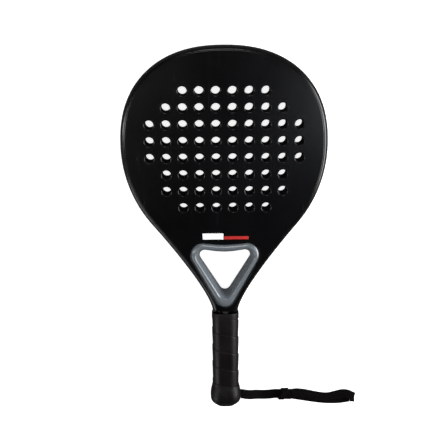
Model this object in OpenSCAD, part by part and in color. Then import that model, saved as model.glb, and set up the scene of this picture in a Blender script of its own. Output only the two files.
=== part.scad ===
// Padel racket lying on its rear face: +Z is the normal of the front face, +Y runs up the head,
// -Y down the handle. The origin is on the resting plane, at the middle of the length and width.

/* [Head] */
// Overall length, from the butt to the top of the head
racket_l = 455; // [451:1:455]
// Width of the head where it is widest
head_w = 252.6; // [250:0.2:256]
// Thickness over both faces
racket_t = 38; // [36:0.5:38]
// Thickness of each laminated face
face_t = 1.2; // [0.8:0.1:1.4]
// Width of the hollow rim tube
rim_w = 15; // [14:0.5:15.5]
// Width of the rounded rim edge that stands outside each face
edge_w = 5.5; // [5:0.25:6]
// Wall of the rim tube
tube_wall = 2; // [1.6:0.1:2.2]

/* [Face holes] */
// Diameter of the holes through the face
hole_d = 11.2; // [9:0.1:12]
// Spacing of the holes both ways
hole_pitch = 20.2; // [19.6:0.1:20.4]
// Height of the pattern's middle above the origin
hole_mid_y = 102.8; // [101:0.1:104]

/* [Throat insert] */
// Half width of the insert's outline where its top and side lines would meet
insert_half_w = 55.3; // [54:0.1:56]
// Height of that meeting point
insert_top_y = -9.2; // [-10.5:0.1:-9]
// Height at which the two side lines would meet
insert_tip_y = -107; // [-107.2:0.1:-106.4]
// Height of the dip in the top line
insert_dip_y = -15.4; // [-16.5:0.1:-15]

/* [Handle] */
// Half width of the handle shells
handle_hw = 14.4; // [14:0.1:14.8]
// Half depth of the handle shells
handle_hd = 13; // [12.8:0.1:13.4]
// Thickness of the wound grip
grip_t = 1.9; // [1.5:0.1:2.2]
// Length of the butt cap
cap_l = 27.5; // [26:0.5:28]

/* [Strap] */
// Width of the wrist strap's webbing
web_w = 12; // [10:0.5:12]
// Thickness of one layer of webbing
web_t = 1.2; // [1:0.1:1.2]
// Swing of the strap to each side about its pin, which the slot leaves room for
swing = 20; // [5:1:20]

/* [Hidden] */

mid_z = racket_t / 2;
head_top = racket_l / 2;
butt_y = -racket_l / 2;
fit_gap = 0.2;          // clearance between parts that are bonded side by side

// Outline of the head: a superellipse above the widest line and an arc below it
side_y = 110;
crown_power = 2.3;
shoulder_r = 154.7;
shoulder_angle = 40.4;
crown_steps = 14;
shoulder_steps = 5;

// Outline of the arms: one curve from the shoulder arc to the neck
arm_steps = 12;
arm_pull = 48;
neck_pull = 19;
neck = [15.8, -101.5];
face_end_y = -99.6;     // lower end of both faces

// The tube halves inside the handle
handle_top_y = -104.5;
handle_top_x = 12.3;
handle_top_hd = 10.8;
spine_top_y = -110.5;
spine_x = 11.5;         // outer side of the tube halves in the handle
spine_hd = 10.5;        // half depth of the tube halves in the handle
core_hw = 3;            // half width of the gap between the tube halves
handle_end_y = butt_y + 24.5;
cap_top_y = butt_y + cap_l;

// Foam core and bridge meet at the last point of the shoulder arc
core_index = crown_steps + shoulder_steps;

// Insert outlines: the outer edge, and the ridge at mid thickness where the opening is narrowest
insert_outer_r = [150, 15, 12.8, 15];
ridge_vertices = [[0, -27.6], [38.4, -21.3], [0, -80.9], [-38.4, -21.3]];
ridge_r = [100, 6.8, 6.9, 6.8];
corner_steps = 7;

// Strap anchor inside the butt cap
pin = [12.5, -214];
pin_r = 1.6;
pin_gap = 0.08;         // running clearance of the eyelet on the pin
eyelet_r = 3.2;
tab_end_x = 19;
slot_gap = 0.4;
web2_t = 2 * web_t;     // the lead is two layers of webbing

// Cap screws and the badge over their heads
screw_x = 7;
screw_z = mid_z - 4;
screw_r = 1.25;
screw_head_r = 2;
badge_t = 1.2;

// Route of the strap, chosen by hand
lead_path = [[19, -214, 19], [21.5, -214, 19], [27, -215.8, 17], [32, -217.5, 13.3], [37, -218.8, 9],
             [42, -220.2, 5], [48, -221.3, 2.6], [56, -221.4, 1.9], [63, -220.5, 2.2], [66, -220.5, 2.2]];
upper_path = [[83, -220, 3.2], [86, -220, 3.2], [93, -219.5, 2.7], [104, -221, 2.5], [115, -223.5, 2.5],
              [126, -225.5, 2.5], [135, -225.5, 2.5], [143.5, -223.3, 3], [151.5, -221, 4.2],
              [158, -221, 5.6], [163.5, -223.8, 5.8], [166.8, -226, 4.3], [166.8, -226.6, 2.6],
              [164.5, -227.1, 1.6], [161.5, -227.3, 1.2]];
lower_path = [[83, -222, 1.2], [86, -222, 1.2], [93, -223.5, 0.9], [106, -225.7, 0.9], [120, -228, 0.9],
              [134, -229.3, 0.9], [147, -229.3, 0.9], [155, -228.4, 0.9], [158.5, -227.6, 1.1],
              [161, -227.3, 1.2]];
knot_x = [66, 83];
knot_y = -220.5;

function unit(v) = v / norm(v);
function mix(a, b, t) = a + (b - a) * t;
function clamp01(t) = max(0, min(1, t));
function mirrored(points) = [for (p = points) [-p[0], p[1]]];
function reversed(list) = [for (i = [len(list) - 1:-1:0]) list[i]];

// Right half of the outline, from the top of the head down to the end of the tube
function crown_point(a) = [head_w / 2 * pow(abs(cos(a)), 2 / crown_power),
                           side_y + (head_top - side_y) * pow(abs(sin(a)), 2 / crown_power)];
function shoulder_point(a) = [head_w / 2 - shoulder_r + shoulder_r * cos(a), side_y - shoulder_r * sin(a)];
arm_start = shoulder_point(shoulder_angle);
arm_ctrl_1 = arm_start - arm_pull * [sin(shoulder_angle), cos(shoulder_angle)];
arm_ctrl_2 = neck + [0, neck_pull];
function arm_point(t) = pow(1 - t, 3) * arm_start + 3 * pow(1 - t, 2) * t * arm_ctrl_1
                        + 3 * (1 - t) * t * t * arm_ctrl_2 + pow(t, 3) * neck;
right_side = concat([for (i = [0:crown_steps]) crown_point(90 - 90 * i / crown_steps)],
                    [for (i = [1:shoulder_steps]) shoulder_point(shoulder_angle * i / shoulder_steps)],
                    [for (i = [1:arm_steps]) arm_point(i / arm_steps)],
                    [[handle_top_x, handle_top_y], [spine_x, spine_top_y], [spine_x, handle_end_y]]);
last = len(right_side) - 1;

// Inward normals of the right half; the top one points straight down and the handle's straight in
function along(i) = i == 0 ? [1, 0] : i >= last - 1 ? [0, -1] : unit(right_side[i + 1] - right_side[i - 1]);
function inward(i) = [along(i)[1], -along(i)[0]];

// Width of the tube at each point: full in the head, then up to the insert's side line or the middle gap
insert_slope = insert_half_w / (insert_top_y - insert_tip_y);
line_gap = fit_gap / cos(atan(insert_slope));
function to_insert(p, n) = (p[0] - insert_slope * (p[1] - insert_tip_y) - line_gap) / (insert_slope * n[1] - n[0]);
function to_middle(p, n) = (p[0] - core_hw) / max(0.001, -n[0]);
function tube_w(i) = i <= core_index ? rim_w
    : min(rim_w, to_insert(right_side[i], inward(i)), to_middle(right_side[i], inward(i)));
function inset(i, d) = right_side[i] + d * inward(i);
inner_side = [for (i = [0:last]) inset(i, tube_w(i))];

// Half depth of the frame at a height y: full along the faces, then down to the handle's tubes
function half_depth(y) = y > face_end_y ? mid_z
    : y > handle_top_y ? mix(handle_top_hd, mid_z, (y - handle_top_y) / (face_end_y - handle_top_y))
    : mix(spine_hd, handle_top_hd, clamp01((y - spine_top_y) / (handle_top_y - spine_top_y)));

// Sections of the tube as [distance in from the outline, height from mid plane over half depth]
in_z = (mid_z - face_t) / mid_z;
function outer_section(w) = [[w, -in_z], [edge_w, -in_z], [edge_w, -1], [edge_w - 1.3, -1], [1.6, -0.88], [0, -0.4],
                             [0, 0.4], [1.6, 0.88], [edge_w - 1.3, 1], [edge_w, 1], [edge_w, in_z], [w, in_z]];
bore_shape = [[1, -0.83], [0.75, -0.83], [0.5, -0.83], [0.3, -0.8], [0.15, -0.7], [0, -0.35],
              [0, 0.35], [0.15, 0.7], [0.3, 0.8], [0.5, 0.83], [0.75, 0.83], [1, 0.83]];
function bore_section(w) = [for (s = bore_shape) [tube_wall + s[0] * (w - 2 * tube_wall), s[1]]];
function section_at(i, section, side) =
    [for (s = section) let (p = inset(i, s[0])) [side * p[0], p[1], mid_z + s[1] * half_depth(right_side[i][1])]];
function tube_rings(stations, bore) = [for (s = stations)
    section_at(s[0], bore ? bore_section(tube_w(s[0])) : outer_section(tube_w(s[0])), s[1])];

function flat(lists) = [for (l = lists) each l];

// Triangles of the skin over rings of n points each; ring r's first point is base + r * n
function skin_faces(rings, n, base, closed, flip) =
    [for (r = [0:rings - (closed ? 1 : 2)], k = [0:n - 1], half = [0, 1])
        let (a = base + r * n + k, b = base + r * n + (k + 1) % n,
             c = base + ((r + 1) % rings) * n + (k + 1) % n, d = base + ((r + 1) % rings) * n + k,
             f = half == 0 ? [a, b, c] : [a, c, d])
        flip ? reversed(f) : f];

// Fillets every corner of an outline; the same number of points comes back for each corner
function corner_arc(p, to_prev, to_next, r, n) =
    let (u = unit(to_prev), v = unit(to_next), half = acos(u * v) / 2,
         centre = p + unit(u + v) * r / sin(half), start = p + u * r / tan(half) - centre,
         turn = (u[0] * v[1] - u[1] * v[0] > 0 ? -1 : 1) * (180 - 2 * half))
    [for (k = [0:n]) let (a = turn * k / n)
        centre + [start[0] * cos(a) - start[1] * sin(a), start[0] * sin(a) + start[1] * cos(a)]];
function filleted(points, radii) = let (m = len(points))
    [for (i = [0:m - 1])
        each corner_arc(points[i], points[(i + m - 1) % m] - points[i], points[(i + 1) % m] - points[i],
                        radii[i], corner_steps)];

insert_vertices = [[0, insert_dip_y], [insert_half_w, insert_top_y], [0, insert_tip_y],
                   [-insert_half_w, insert_top_y]];
insert_outline = filleted(insert_vertices, insert_outer_r);
ridge_outline = filleted(ridge_vertices, ridge_r);

// Profile of one insert half: [share of the way from the outer edge to the ridge, height above mid plane]
insert_profile = [[0, 0], [0, mid_z - 0.8], [0.06, mid_z - 0.15], [0.15, mid_z], [0.45, mid_z - 0.1],
                  [0.62, mid_z - 1.1], [0.75, mid_z - 3.5], [0.88, mid_z - 8], [0.96, mid_z - 13], [1, 0]];

// Octagon of half width hw and half depth hd, centred on the handle's axis
function octagon(hw, hd) = [for (s = [[1, 0.5], [0.6, 1], [-0.6, 1], [-1, 0.5], [-1, -0.5], [-0.6, -1],
                                      [0.6, -1], [1, -0.5]]) [s[0] * hw, s[1] * hd]];

// Extrudes its child, drawn across the handle, from y0 down to y1
module along_handle(y0, y1) {
    translate([0, y0, mid_z])
        rotate([90, 0, 0])
            linear_extrude(height = y0 - y1)
                children();
}

// Places its children at every face hole's axis
module each_hole() {
    row_counts = [6, 8, 10, 10, 10, 8, 8, 6];
    for (row = [0:7])
        for (k = [0:row_counts[row] - 1])
            translate([(k - (row_counts[row] - 1) / 2) * hole_pitch, hole_mid_y + (3.5 - row) * hole_pitch, 0])
                children();
}

module hole_cutters() {
    each_hole()
        translate([0, 0, -1])
            cylinder(d = hole_d, h = racket_t + 2, $fn = 48);
}

module insert_area() {
    polygon(insert_outline);
}

// A length of the moulded tube through stations of [index along the outline, side]
module tube_length(stations) {
    outer = tube_rings(stations, false);
    bore = tube_rings(stations, true);
    n = len(outer[0]);
    rings = len(outer);
    bore_base = rings * n;
    caps = [for (r = [0, rings - 1], k = [0:n - 1], half = [0, 1])
        let (j = (k + 1) % n, a = r * n + k, b = r * n + j, c = bore_base + r * n + j, d = bore_base + r * n + k,
             f = half == 0 ? [a, b, c] : [a, c, d])
        r == 0 ? reversed(f) : f];
    color([0.05, 0.05, 0.055])
        polyhedron(points = concat(flat(outer), flat(bore)),
                   faces = concat(skin_faces(rings, n, 0, false, false),
                                  skin_faces(rings, n, bore_base, false, true), caps),
                   convexity = 8);
}

module head_tube() {
    tube_length(concat([for (i = [core_index:-1:0]) [i, -1]], [for (i = [1:core_index]) [i, 1]]));
}

// From the shoulder down through the throat to the end of the handle
module left_arm_tube() {
    tube_length([for (i = [last:-1:core_index]) [i, -1]]);
}

module right_arm_tube() {
    tube_length([for (i = [core_index:last]) [i, 1]]);
}

// Everything that the inner side of the tube surrounds, from index i0 down to i1
module inside_tube(i0, i1) {
    right = [for (i = [i0:i1]) inner_side[i]];
    polygon(concat(right, reversed(mirrored(right))));
}

module foam_core() {
    color([0.16, 0.16, 0.17])
        difference() {
            translate([0, 0, face_t])
                linear_extrude(height = racket_t - 2 * face_t)
                    inside_tube(0, core_index);
            hole_cutters();
        }
}

module bridge() {
    horn_end_y = -31;
    color([0.08, 0.08, 0.085])
        translate([0, 0, face_t])
            linear_extrude(height = racket_t - 2 * face_t)
                difference() {
                    intersection() {
                        inside_tube(core_index, last - 4);
                        translate([-head_w / 2, horn_end_y])
                            square([head_w, head_w]);
                    }
                    insert_area();
                }
}

// One face: the outline inside the rim's rounded edge, closed below the throat insert
module face_sheet() {
    stop = last - 4;
    right = concat([for (i = [0:stop]) inset(i, edge_w)], [[9, -98.6], [6.5, face_end_y]]);
    linear_extrude(height = face_t)
        difference() {
            polygon(concat(right, reversed(mirrored(right))));
            insert_area();
        }
}

white_at = [-27.5, -7.6];
white_size = [25.5, 7.6];
red_at = [-1.2, -7.6];
red_size = [30.2, 3.8];
bar_t = 0.2;

module bar(at, size) {
    translate([at[0], at[1], racket_t - bar_t])
        cube([size[0], size[1], bar_t]);
}

module front_face() {
    color([0.04, 0.04, 0.045])
        difference() {
            translate([0, 0, racket_t - face_t])
                face_sheet();
            hole_cutters();
            for (b = [[white_at, white_size], [red_at, red_size]])
                translate([b[0][0], b[0][1], racket_t - bar_t])
                    cube([b[1][0], b[1][1], 1]);
        }
}

module rear_face() {
    color([0.04, 0.04, 0.045])
        difference() {
            face_sheet();
            hole_cutters();
        }
}

module white_bar() {
    color("white")
        bar(white_at, white_size);
}

module red_bar() {
    color("firebrick")
        bar(red_at, red_size);
}

// One half of the moulded insert that lines the throat; side is 1 at the front and -1 at the rear
module insert_half(side) {
    n = len(insert_outline);
    rings = [for (p = insert_profile)
        [for (k = [0:n - 1]) let (q = mix(insert_outline[k], ridge_outline[k], p[0]))
            [q[0], q[1], mid_z + side * p[1]]]];
    color([0.42, 0.45, 0.49])
        polyhedron(points = flat(rings), faces = skin_faces(len(rings), n, 0, true, side < 0), convexity = 6);
}

module throat_insert_front() {
    insert_half(1);
}

module throat_insert_rear() {
    insert_half(-1);
}

// Spline between the two tube halves: it fills the neck under the insert and runs down the handle
module handle_core() {
    w = core_hw - fit_gap;
    neck_y0 = -88.5;
    wedge_x = insert_slope * (neck_y0 - insert_tip_y) - fit_gap;
    wedge_y = insert_tip_y + (w + fit_gap) / insert_slope;
    color([0.2, 0.2, 0.2]) {
        translate([0, 0, face_t])
            linear_extrude(height = racket_t - 2 * face_t)
                difference() {
                    polygon([[-wedge_x, neck_y0], [wedge_x, neck_y0], [w, wedge_y], [-w, wedge_y]]);
                    insert_area();
                }
        translate([-w, handle_end_y, mid_z - spine_hd])
            cube([2 * w, wedge_y - handle_end_y, 2 * spine_hd]);
    }
}

module handle_shell(side) {
    spine = [[spine_x + 0.2, 0.41], [spine_x - 1.4, 0.91], [spine_x - 4, 1.02]];
    right = [for (s = spine) [s[0], s[1] * spine_hd]];
    left = reversed(mirrored(right));
    half = concat(right, left);
    color([0.25, 0.25, 0.26])
        along_handle(spine_top_y, handle_end_y)
            intersection() {
                difference() {
                    polygon(octagon(handle_hw, handle_hd));
                    polygon(concat(half, [for (p = reversed(half)) [p[0], -p[1]]]));
                }
                translate([-handle_hw, side > 0 ? 0 : -handle_hd])
                    square([2 * handle_hw, handle_hd]);
            }
}

module handle_shell_front() {
    handle_shell(1);
}

module handle_shell_rear() {
    handle_shell(-1);
}

plug_l = 20;
plug_w = 3.6;
plug_hd = 5.4;

module tube_plugs() {
    color([0.7, 0.6, 0.45])
        for (side = [-1, 1])
            difference() {
                translate([side * screw_x - plug_w / 2, handle_end_y, mid_z - plug_hd])
                    cube([plug_w, plug_l, 2 * plug_hd]);
                translate([side * screw_x, handle_end_y - 1, screw_z])
                    rotate([-90, 0, 0])
                        cylinder(r = screw_r + 0.05, h = plug_l - 3, $fn = 32);
            }
}

grip_hw = handle_hw + grip_t;
grip_hd = handle_hd + grip_t;
tape_t = 0.4;

module base_grip() {
    color([0.13, 0.11, 0.115])
        along_handle(handle_top_y + 0.3, cap_top_y)
            difference() {
                polygon(octagon(grip_hw, grip_hd));
                polygon(octagon(handle_hw + 0.05, handle_hd + 0.05));
            }
}

module finishing_tape() {
    tape_w = 7;
    color([0.06, 0.06, 0.06])
        along_handle(handle_top_y, handle_top_y - tape_w)
            difference() {
                polygon(octagon(grip_hw + tape_t, grip_hd + tape_t));
                polygon(octagon(grip_hw + 0.02, grip_hd + 0.02));
            }
}

// Slot in the cap's side that the strap leaves through, wide enough for its swing
module strap_slot() {
    slot_h = web2_t + 2 * slot_gap;
    reach = 12;
    mouth = reach * tan(swing) + web_w / 2 / cos(swing) + slot_gap;
    throat = web_w / 2 / cos(swing) + slot_gap;
    translate([pin[0], pin[1], mid_z - slot_h / 2]) {
        cylinder(r = web_w / 2 + slot_gap, h = slot_h, $fn = 48);
        linear_extrude(height = slot_h)
            polygon([[0, -throat], [reach, -mouth], [reach, mouth], [0, throat]]);
    }
}

pin_z = [8, 30];

module butt_cap() {
    slices = [[0, 17, 15.6], [5, 17.9, 16.5], [11, 18.7, 17.2], [18, 18.5, 17], [23, 17.2, 15.7], [26, 14, 12.5],
              [cap_l, 11, 9.8]];
    color([0.1, 0.09, 0.095])
        difference() {
            hull()
                for (s = slices)
                    along_handle(cap_top_y - min(s[0], cap_l - 0.1), cap_top_y - min(s[0], cap_l - 0.1) - 0.1)
                        polygon(octagon(s[1], s[2]));
            // socket for the end of the handle
            along_handle(cap_top_y + 1, handle_end_y - 0.1)
                polygon(octagon(handle_hw + 0.1, handle_hd + 0.1));
            strap_slot();
            translate([pin[0], pin[1], pin_z[0]])
                cylinder(r = pin_r, h = pin_z[1] - pin_z[0], $fn = 32);
            // recess for the badge, and the two screw holes behind it
            along_handle(butt_y + badge_t, butt_y - 1)
                polygon(octagon(10, 8));
            for (side = [-1, 1])
                translate([side * screw_x, butt_y, screw_z])
                    rotate([-90, 0, 0]) {
                        cylinder(r = screw_head_r + 0.1, h = badge_t + 2, $fn = 32);
                        cylinder(r = screw_r + 0.05, h = cap_l, $fn = 32);
                    }
        }
}

module butt_badge() {
    color([0.3, 0.31, 0.33])
        along_handle(butt_y + badge_t, butt_y)
            polygon(octagon(9.85, 7.85));
}

module cap_screws() {
    head_l = 1.9;
    shank_l = 34;
    color([0.65, 0.65, 0.67])
        for (side = [-1, 1])
            translate([side * screw_x, butt_y + badge_t + 0.05, screw_z])
                rotate([-90, 0, 0]) {
                    cylinder(r = screw_head_r, h = head_l, $fn = 32);
                    cylinder(r = screw_r, h = shank_l, $fn = 32);
                }
}

module strap_pin() {
    color([0.7, 0.7, 0.72])
        translate([pin[0], pin[1], pin_z[0]])
            cylinder(r = pin_r, h = pin_z[1] - pin_z[0], $fn = 32);
}

module strap_eyelet() {
    color([0.75, 0.75, 0.76])
        translate([pin[0], pin[1], mid_z - web2_t / 2])
            difference() {
                cylinder(r = eyelet_r, h = web2_t, $fn = 32);
                translate([0, 0, -1])
                    cylinder(r = pin_r + pin_gap, h = web2_t + 2, $fn = 32);
            }
}

module strap_tab() {
    color([0.08, 0.08, 0.08])
        translate([pin[0], pin[1], mid_z - web2_t / 2])
            difference() {
                union() {
                    cylinder(r = web_w / 2, h = web2_t, $fn = 48);
                    translate([0, -web_w / 2, 0])
                        cube([tab_end_x - pin[0], web_w, web2_t]);
                }
                translate([0, 0, -1])
                    cylinder(r = eyelet_r, h = web2_t + 2, $fn = 32);
            }
}

// Flat webbing swept along a path of points; its width stays as level as the path allows
module webbing(path, w, t) {
    m = len(path);
    rim = [[0.5, 0.25], [0.46, 0.5], [-0.46, 0.5], [-0.5, 0.25], [-0.5, -0.25], [-0.46, -0.5], [0.46, -0.5],
           [0.5, -0.25]];
    n = len(rim);
    rings = [for (i = [0:m - 1])
        let (ahead = unit(path[min(i + 1, m - 1)] - path[max(i - 1, 0)]),
             across = unit([0, 1, 0] - ahead[1] * ahead), up = cross(ahead, across))
        [for (s = rim) path[i] + s[0] * w * across + s[1] * t * up]];
    caps = [for (k = [1:n - 2]) each [[0, k + 1, k], [(m - 1) * n, (m - 1) * n + k, (m - 1) * n + k + 1]]];
    color([0.08, 0.08, 0.08])
        polyhedron(points = flat(rings), faces = concat(skin_faces(m, n, 0, false, false), caps), convexity = 4);
}

module strap_lead() {
    webbing(lead_path, web_w, web2_t);
}

module strap_knot() {
    slices = [[0, 6.4, 2.4, 2.4], [4, 7, 4.5, 4.5], [12, 7, 4.5, 4.5], [17, 6.6, 2.4, 2.4]];
    color([0.08, 0.08, 0.08])
        hull()
            for (s = slices)
                translate([knot_x[0] + min(s[0], 16.9), knot_y, s[3]])
                    rotate([90, 0, 90])
                        linear_extrude(height = 0.1)
                            polygon(octagon(s[1], s[2]));
}

module strap_loop_upper() {
    webbing(upper_path, web_w, web_t);
}

module strap_loop_lower() {
    webbing(lower_path, web_w, web_t);
}

head_tube();
left_arm_tube();
right_arm_tube();
bridge();
foam_core();
front_face();
rear_face();
throat_insert_front();
throat_insert_rear();
white_bar();
red_bar();
handle_core();
handle_shell_front();
handle_shell_rear();
tube_plugs();
base_grip();
finishing_tape();
butt_cap();
butt_badge();
cap_screws();
strap_pin();
strap_eyelet();
strap_tab();
strap_lead();
strap_knot();
strap_loop_upper();
strap_loop_lower();
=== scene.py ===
"""Looks of the padel racket: its finer meshes, materials, light and camera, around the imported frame.

Lengths are in millimetres in the racket's own frame until a mesh is made: +Z out of the front face,
+Y up the head, +X towards the strap.
"""
import math

import bmesh
import bpy
import numpy as np
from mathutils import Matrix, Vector
from mathutils.geometry import delaunay_2d_cdt


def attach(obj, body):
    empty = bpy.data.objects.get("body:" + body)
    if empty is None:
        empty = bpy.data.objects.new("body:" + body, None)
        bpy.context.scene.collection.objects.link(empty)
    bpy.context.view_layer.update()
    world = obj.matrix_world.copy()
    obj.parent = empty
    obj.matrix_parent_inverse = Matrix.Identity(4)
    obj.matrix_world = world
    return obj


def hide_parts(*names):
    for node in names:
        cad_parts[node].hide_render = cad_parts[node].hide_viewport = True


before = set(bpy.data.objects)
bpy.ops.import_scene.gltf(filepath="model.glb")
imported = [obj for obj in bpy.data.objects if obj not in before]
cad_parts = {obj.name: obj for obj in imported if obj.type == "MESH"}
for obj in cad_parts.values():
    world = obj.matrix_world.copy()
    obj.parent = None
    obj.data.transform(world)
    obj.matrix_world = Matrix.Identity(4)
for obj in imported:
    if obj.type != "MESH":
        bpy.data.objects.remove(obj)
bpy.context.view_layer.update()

MM = 0.001
SCENE = bpy.context.scene
SHARP = 38.0  # angle in degrees over which an edge is crisp, where a piece doesn't say otherwise

# Driving sizes, the same as the CAD part's
HALF_LENGTH = 227.5
HEAD_HALF_WIDTH = 126.3
MID_Z = 19.0
FACE_T = 1.2
RIM_W = 15.0
EDGE_W = 5.5
HOLE_R = 5.6
HOLE_PITCH = 20.2
HOLE_MID_Y = 102.8
ROW_COUNTS = (6, 8, 10, 10, 10, 8, 8, 6)
FACE_END_Y = -99.6
GRIP_TOP_Y = -104.3
CAP_TOP_Y = -200.0
HANDLE_END_Y = -203.0
PIN = (12.5, -214.0)
PIN_R = 1.6
SLOT_HALF_HEIGHT = 1.6
BADGE_DEPTH = 1.2


# ---------------------------------------------------------------- camera

def make_camera():
    """A camera almost straight above the racket, leaning towards the handle."""
    data = bpy.data.cameras.new("camera")
    data.lens = 83.47
    data.sensor_width = 36
    data.clip_start = 0.02
    camera = bpy.data.objects.new("camera", data)
    camera.location = (-0.0266, 0.254, 1.2843)
    camera.rotation_mode = "ZXY"
    camera.rotation_euler = (-0.1920, -0.0204, -0.0065)
    SCENE.collection.objects.link(camera)
    SCENE.camera = camera


# ---------------------------------------------------------------- shape tools

def spline(points, steps):
    """A smooth line through the points, with this many steps between each two."""
    p = np.asarray(points, float)
    p = np.vstack([2 * p[0] - p[1], p, 2 * p[-1] - p[-2]])
    line = []
    for a, b, c, d in zip(p[:-3], p[1:-2], p[2:-1], p[3:]):
        for t in np.arange(steps) / steps:
            line.append(0.5 * (2 * b + (c - a) * t + (2 * a - 5 * b + 4 * c - d) * t ** 2
                               + (3 * b - a - 3 * c + d) * t ** 3))
    return np.array(line + [p[-2]])


def unit(vectors):
    return vectors / np.linalg.norm(vectors, axis=-1, keepdims=True)


def circle(count):
    """Points round the unit circle, anticlockwise from +X."""
    a = np.linspace(0, 2 * math.pi, count, endpoint=False)
    return np.stack([np.cos(a), np.sin(a)], 1)


def ring_normals(outline):
    """Normals that point out of a closed outline drawn anticlockwise."""
    along = unit(np.roll(outline, -1, 0) - np.roll(outline, 1, 0))
    return np.stack([along[:, 1], -along[:, 0]], 1)


def anticlockwise(outline):
    """The closed outline, turned round if it is drawn clockwise."""
    x, y = outline.T
    area = np.sum(x * np.roll(y, -1) - y * np.roll(x, -1))
    return outline if area > 0 else outline[::-1]


def filleted(vertices, radii, arc_steps, side_steps):
    """A closed outline with an arc at each vertex and evenly spaced points along each side."""
    vertices = np.asarray(vertices, float)
    arcs = []
    for i, vertex in enumerate(vertices):
        u = unit(vertices[i - 1] - vertex)
        v = unit(vertices[(i + 1) % len(vertices)] - vertex)
        half = math.acos(u @ v) / 2
        centre = vertex + unit(u + v) * radii[i] / math.sin(half)
        start = vertex + u * radii[i] / math.tan(half) - centre
        turn = math.copysign(math.pi - 2 * half, u[1] * v[0] - u[0] * v[1])
        a = np.linspace(0, turn, arc_steps)
        arcs.append(centre + np.stack([start[0] * np.cos(a) - start[1] * np.sin(a),
                                       start[0] * np.sin(a) + start[1] * np.cos(a)], 1))
    outline = []
    for i, arc in enumerate(arcs):
        following = arcs[(i + 1) % len(arcs)]
        between = np.linspace(0, 1, side_steps + 2)[1:-1, None]
        outline += [arc, arc[-1] + (following[0] - arc[-1]) * between]
    return np.vstack(outline)


def octagon(half_width, half_depth, radius, count):
    """A rounded octagon as evenly spaced points, from +X round over the front, with its normals."""
    shares = ((1, 0.5), (0.6, 1), (-0.6, 1), (-1, 0.5), (-1, -0.5), (-0.6, -1), (0.6, -1), (1, -0.5))
    outline = filleted(np.array(shares) * (half_width, half_depth), [radius] * 8, 12, 6)
    start = np.argmin(np.abs(outline[:, 1]) + (outline[:, 0] < 0) * half_width)
    outline = np.roll(outline, -start, 0)
    closed = np.vstack([outline, outline[:1]])
    reach = np.concatenate([[0], np.cumsum(np.linalg.norm(np.diff(closed, axis=0), axis=1))])
    at = np.arange(count) / count * reach[-1]
    points = np.stack([np.interp(at, reach, closed[:, 0]), np.interp(at, reach, closed[:, 1])], 1)
    return points, ring_normals(points)


def skin(rings, closed=False, capped=True):
    """Points and faces of a surface over rings that all have the same number of points."""
    rings = np.asarray(rings)
    count, n = rings.shape[:2]
    faces = []
    for r in range(count if closed else count - 1):
        s = (r + 1) % count
        faces += [(r * n + k, r * n + (k + 1) % n, s * n + (k + 1) % n, s * n + k) for k in range(n)]
    if capped and not closed:
        faces += [tuple(range(n)), tuple(range((count - 1) * n, count * n))]
    return rings.reshape(-1, 3), faces


def joined(*parts):
    """Several (points, faces) pairs as one."""
    points, faces, base = [], [], 0
    for part_points, part_faces in parts:
        points.append(np.asarray(part_points))
        faces += [tuple(i + base for i in f) for f in part_faces]
        base += len(part_points)
    return np.vstack(points), faces


def handle_ring(outline, y):
    """A ring across the handle from an outline drawn as (x, height above the handle's axis)."""
    y = np.broadcast_to(y, len(outline))
    return np.stack([outline[:, 0], y, outline[:, 1] + MID_Z], 1)


def shade_smooth(mesh, sharp):
    """Smooth shading, with the edges over this angle in degrees kept crisp."""
    mesh.polygons.foreach_set("use_smooth", [True] * len(mesh.polygons))
    mesh.set_sharp_from_angle(angle=math.radians(sharp))


def new_mesh(name, shape, sharp=SHARP):
    """A smooth-shaded mesh from (points, faces), with edges over the sharp angle kept crisp."""
    points, faces = shape
    mesh = bpy.data.meshes.new(name)
    mesh.from_pydata((np.asarray(points) * MM).tolist(), [], faces)
    work = bmesh.new()
    work.from_mesh(mesh)
    bmesh.ops.remove_doubles(work, verts=work.verts, dist=1e-7)
    bmesh.ops.recalc_face_normals(work, faces=work.faces)
    work.to_mesh(mesh)
    work.free()
    shade_smooth(mesh, sharp)
    return mesh


def add_piece(name, mesh, body, slot, material, *replaced):
    """A piece that rides on a body and stands for the CAD nodes that it replaces."""
    piece = bpy.data.objects.new(name, mesh)
    SCENE.collection.objects.link(piece)
    mesh.materials.append(material)
    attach(piece, body)
    if replaced:
        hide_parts(*replaced)
    return piece


def add_form(name, shape, slot, material, *replaced, sharp=SHARP):
    """A piece of the racket body, made straight from its (points, faces)."""
    add_piece(name, new_mesh(name, shape, sharp), "racket", slot, material, *replaced)


def carved(mesh, cutters):
    """The mesh with every cutter mesh taken out of it."""
    block = bpy.data.objects.new("block", mesh)
    SCENE.collection.objects.link(block)
    tools = []
    for cutter in cutters:
        tool = bpy.data.objects.new("tool", cutter)
        SCENE.collection.objects.link(tool)
        tools.append(tool)
        cut = block.modifiers.new("cut", "BOOLEAN")
        cut.operation = "DIFFERENCE"
        cut.solver = "EXACT"
        cut.object = tool
    graph = bpy.context.evaluated_depsgraph_get()
    result = bpy.data.meshes.new_from_object(block.evaluated_get(graph))
    for helper in tools + [block]:
        bpy.data.objects.remove(helper)
    return result


# ---------------------------------------------------------------- materials

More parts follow.
